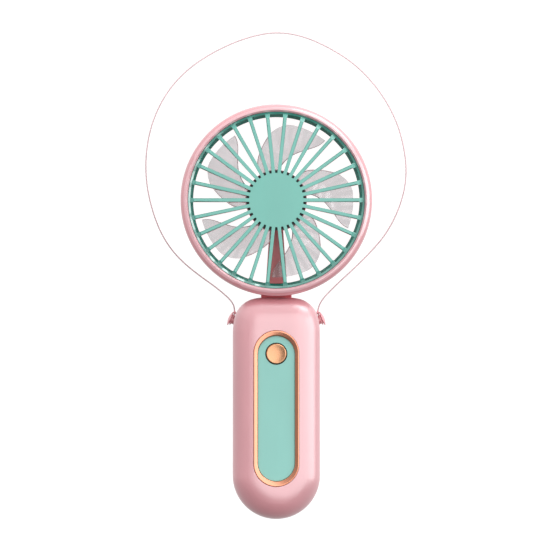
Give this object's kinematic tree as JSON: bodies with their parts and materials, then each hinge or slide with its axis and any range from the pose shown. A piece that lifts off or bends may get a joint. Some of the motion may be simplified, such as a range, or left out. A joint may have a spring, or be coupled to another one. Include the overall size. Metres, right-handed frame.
{
  "type": "handheld electric fan",
  "caption": "Small hand-held fan: round guarded head with a spinning impeller, rounded handle with a long panel and push button, and a thin wrist cord on two pegs.",
  "frame": {"origin": "middle of the whole length, on the surface that the back rests on", "axes": "+Y from the handle end to the head, +Z out of the front, +X to the right seen from the front with the head up"},
  "size_m": [0.1269, 0.2352, 0.032],
  "materials": {
    "pink": "satin",
    "mint": "satin",
    "rose_gold": "brushed satin",
    "smoke": "gloss",
    "steel": "satin",
    "bronze": "satin",
    "copper": "satin",
    "cell": "satin",
    "magnet": "matt",
    "black_plastic": "matt",
    "board": "gloss",
    "sleeve": "gloss",
    "foam": "matt",
    "wire_red": "satin",
    "wire_black": "satin",
    "cord": "matt"
  },
  "bodies": {
    "fan_body": {"handle_front": "pink", "handle_back": "pink", "neck": "pink", "head_front": "pink", "head_rear": "pink", "rear_guard": "pink", "strut_cover": "pink", "front_grille": "mint", "front_panel": "mint", "panel_frame": "rose_gold", "motor_can": "steel", "motor_end_cap": "black_plastic", "motor_bushes": "bronze", "motor_magnets": "magnet", "motor_terminals": "copper", "motor_brushes": "copper", "motor_screws": "steel", "switch_body": "black_plastic", "main_board": "board", "board_chips": "black_plastic", "board_screws": "steel", "usb_board": "board", "usb_shell": "steel", "usb_tongue": "black_plastic", "usb_screws": "steel", "battery_cell": "cell", "battery_sleeve": "sleeve", "battery_ring": "foam", "battery_tabs": "steel", "foam_pads": "foam", "handle_screws": "steel", "peg_left": "pink", "peg_right": "pink", "cord_end_left": "cord", "cord_end_right": "cord", "cord": "cord", "motor_lead_red": "wire_red", "motor_lead_black": "wire_black", "charge_lead_red": "wire_red", "charge_lead_black": "wire_black", "battery_lead_red": "wire_red", "battery_lead_black": "wire_black"},
    "rotor": {"impeller": "smoke", "motor_shaft": "steel", "rotor_core": "steel", "rotor_windings": "copper", "commutator": "copper"},
    "button": {"button_cap": "rose_gold", "switch_plunger": "black_plastic"}
  },
  "joints": [
    {"name": "fan_spin", "type": "hinge", "parent": "fan_body", "child": "rotor", "pos_m": [0, 0.05365, 0.0217], "axis": [0, 0, 1], "continuous": true},
    {"name": "button_press", "type": "slide", "parent": "fan_body", "child": "button", "axis": [0, 0, -1], "range_m": [0, 0.0005], "stiffness_N_per_m": 2000, "springref_m": -0.0003}
  ]
}
